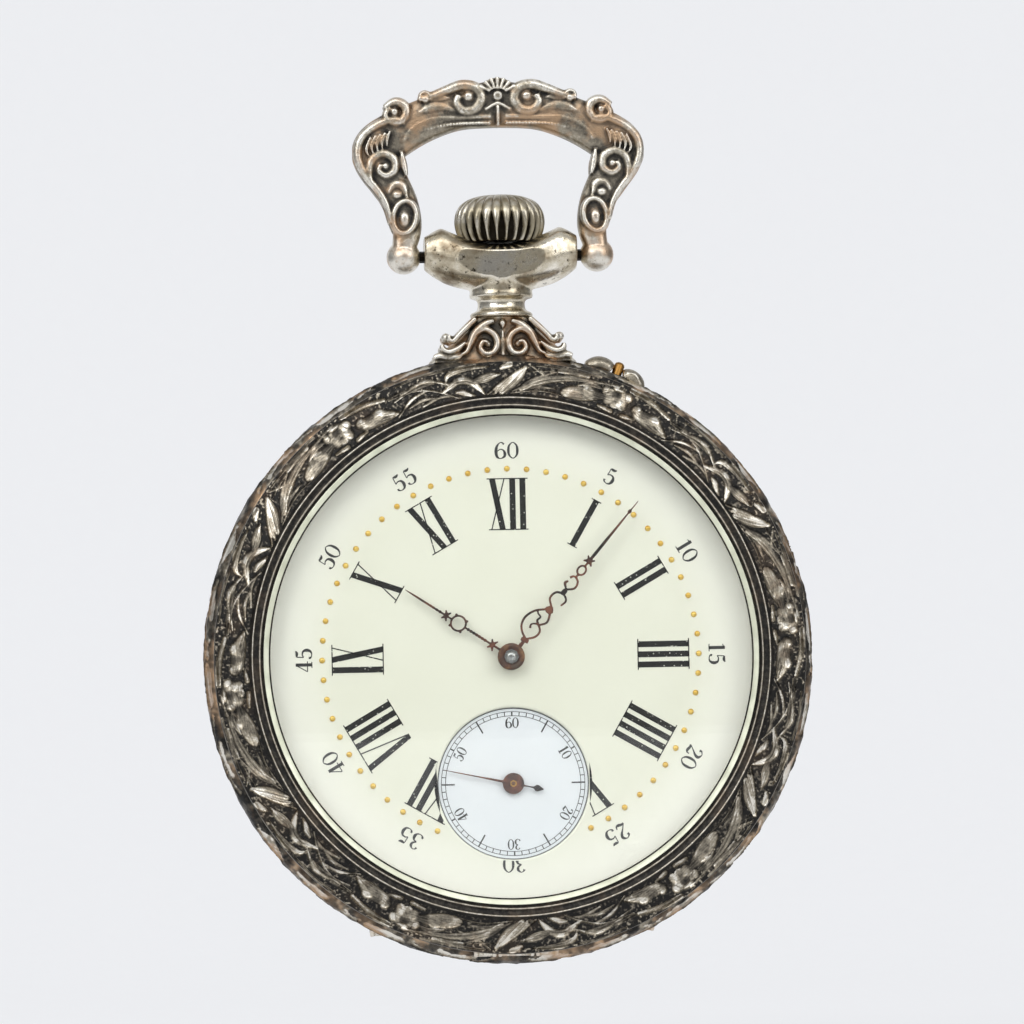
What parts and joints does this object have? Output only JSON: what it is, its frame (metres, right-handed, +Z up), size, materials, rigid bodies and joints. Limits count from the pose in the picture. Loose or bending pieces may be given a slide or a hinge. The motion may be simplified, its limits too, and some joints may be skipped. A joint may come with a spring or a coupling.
{
  "type": "pocket watch",
  "caption": "Open-face pocket watch with an embossed silver-coloured case, a swinging bow, a hinged glazed bezel, hinged back covers and a working gear train behind an enamel dial.",
  "frame": {"origin": "inside top of the bow, where the chain hook bears, on the bow's middle plane", "axes": "+Z up, from 6 o'clock towards 12 o'clock; -Y out of the dial towards the reader; +X towards 3 o'clock"},
  "size_m": [0.052, 0.014, 0.0758],
  "materials": {
    "silver": "silver, embossed, rubbed bright on the relief and blackened in the ground",
    "gilt": "gilded brass, fine matt",
    "steel": "polished",
    "browned_steel": "rusted brown hands",
    "ivory_enamel": "glossy fired enamel with painted figures",
    "white_enamel": "glossy fired enamel, bluish white",
    "glass": "clear, domed",
    "ruby": "polished stone"
  },
  "bodies": {
    "case": {"case_band": "silver", "pendant_base": "silver", "pendant": "silver", "bow_pivot_left": "steel", "bow_pivot_right": "steel", "push_pin_guard": "silver", "front_hinge_pin": "steel", "rear_hinge_pin": "steel", "dial": "ivory_enamel", "seconds_dial": "white_enamel", "mainplate": "gilt", "barrel_bridge": "gilt", "train_bridge": "gilt", "balance_cock": "gilt", "pallet_bridge": "gilt", "balance_jewel": "ruby", "click_spring": "steel", "hairspring": "steel", "barrel_bridge_screw_1": "steel", "barrel_bridge_screw_2": "steel", "train_bridge_screw_1": "steel", "train_bridge_screw_2": "steel", "balance_cock_screw": "steel", "case_screw_1": "steel", "case_screw_2": "steel"},
    "bow": {"bow": "silver"},
    "bezel": {"bezel": "silver", "crystal": "glass"},
    "back_cover": {"back_cover": "silver"},
    "cuvette": {"cuvette": "silver"},
    "crown": {"crown": "silver", "winding_stem": "steel", "winding_pinion": "steel", "sliding_pinion": "steel"},
    "crown_wheel": {"crown_wheel": "steel"},
    "ratchet": {"ratchet_wheel": "steel", "barrel_arbor": "steel"},
    "click": {"click": "steel"},
    "push_pin": {"push_pin": "gilt"},
    "minute": {"minute_hand": "browned_steel", "cannon_pinion": "steel", "centre_wheel": "gilt"},
    "hour": {"hour_hand": "browned_steel", "hour_wheel": "gilt"},
    "minute_wheel": {"minute_wheel": "gilt"},
    "barrel": {"barrel": "gilt"},
    "third": {"third_wheel": "gilt"},
    "seconds": {"fourth_wheel": "gilt", "seconds_hand": "browned_steel"},
    "escape": {"escape_wheel": "steel"},
    "pallet_fork": {"pallet_fork": "steel"},
    "balance": {"balance_wheel": "gilt", "balance_staff": "steel"},
    "regulator": {"regulator": "steel"}
  },
  "joints": [
    {"name": "bow_swing", "type": "hinge", "parent": "case", "child": "bow", "pos_m": [0, 0, -0.0108], "axis": [1, 0, 0], "range_deg": [-80, 80]},
    {"name": "bezel_open", "type": "hinge", "parent": "case", "child": "bezel", "pos_m": [0, -0.0023, -0.07002], "axis": [1, 0, 0], "range_deg": [0, 95]},
    {"name": "back_open", "type": "hinge", "parent": "case", "child": "back_cover", "pos_m": [0, 0.00312, -0.06805], "axis": [-1, 0, 0], "range_deg": [0, 95]},
    {"name": "cuvette_open", "type": "hinge", "parent": "case", "child": "cuvette", "pos_m": [0, 0.00312, -0.06805], "axis": [-1, 0, 0], "range_deg": [0, 80.75]},
    {"name": "crown_turn", "type": "hinge", "parent": "case", "child": "crown", "pos_m": [0, 0, -0.0082], "axis": [0, 0, 1], "continuous": true},
    {"name": "crown_wheel_turn", "type": "hinge", "parent": "case", "child": "crown_wheel", "pos_m": [0, 0, -0.0328], "axis": [0, -1, 0], "continuous": true},
    {"name": "ratchet_turn", "type": "hinge", "parent": "case", "child": "ratchet", "pos_m": [-0.00681, 0, -0.03949], "axis": [0, -1, 0], "continuous": true},
    {"name": "click_lift", "type": "hinge", "parent": "case", "child": "click", "pos_m": [0.00139, 0, -0.0395], "axis": [0, 1, 0], "range_deg": [0, 10], "stiffness_Nm_per_rad": 0.0001},
    {"name": "set_push", "type": "slide", "parent": "case", "child": "push_pin", "axis": [-0.3746, 0, -0.9272], "range_m": [0, 0.0009], "stiffness_N_per_m": 300},
    {"name": "seconds_turn", "type": "hinge", "parent": "case", "child": "seconds", "pos_m": [0, 0, -0.0559], "axis": [0, 1, 0], "continuous": true},
    {"name": "minute_turn", "type": "hinge", "parent": "case", "child": "minute", "pos_m": [0, 0, -0.0452], "axis": [0, 1, 0], "continuous": true},
    {"name": "hour_turn", "type": "hinge", "parent": "case", "child": "hour", "pos_m": [0, 0, -0.0452], "axis": [0, 1, 0], "continuous": true},
    {"name": "minute_wheel_turn", "type": "hinge", "parent": "case", "child": "minute_wheel", "pos_m": [0.00495, 0, -0.0434], "axis": [0, 1, 0], "continuous": true},
    {"name": "barrel_turn", "type": "hinge", "parent": "case", "child": "barrel", "pos_m": [-0.00681, 0, -0.03949], "axis": [0, 1, 0], "continuous": true},
    {"name": "third_turn", "type": "hinge", "parent": "case", "child": "third", "pos_m": [0.0065, 0, -0.05065], "axis": [0, 1, 0], "continuous": true},
    {"name": "escape_turn", "type": "hinge", "parent": "case", "child": "escape", "pos_m": [-0.00496, 0, -0.05379], "axis": [0, 1, 0], "continuous": true},
    {"name": "pallet_rock", "type": "hinge", "parent": "case", "child": "pallet_fork", "pos_m": [-0.00764, 0, -0.0517], "axis": [0, 1, 0], "range_deg": [-3, 3]},
    {"name": "balance_swing", "type": "hinge", "parent": "case", "child": "balance", "pos_m": [-0.01149, 0, -0.0487], "axis": [0, 1, 0], "range_deg": [-270, 270], "stiffness_Nm_per_rad": 0.0000004},
    {"name": "regulator_turn", "type": "hinge", "parent": "case", "child": "regulator", "pos_m": [-0.01149, 0, -0.0487], "axis": [0, 1, 0], "range_deg": [-12, 12]}
  ],
  "couplings": [
    {"joint": "cuvette_open", "follows": "back_open", "ratio": 0.85},
    {"joint": "crown_wheel_turn", "follows": "crown_turn", "ratio": 0.6},
    {"joint": "ratchet_turn", "follows": "crown_turn", "ratio": -0.4},
    {"joint": "minute_turn", "follows": "seconds_turn", "ratio": 0.016667},
    {"joint": "hour_turn", "follows": "seconds_turn", "ratio": 0.0013889},
    {"joint": "minute_wheel_turn", "follows": "seconds_turn", "ratio": -0.0055556},
    {"joint": "barrel_turn", "follows": "seconds_turn", "ratio": -0.0030303},
    {"joint": "third_turn", "follows": "seconds_turn", "ratio": -0.13333},
    {"joint": "escape_turn", "follows": "seconds_turn", "ratio": -6}
  ]
}
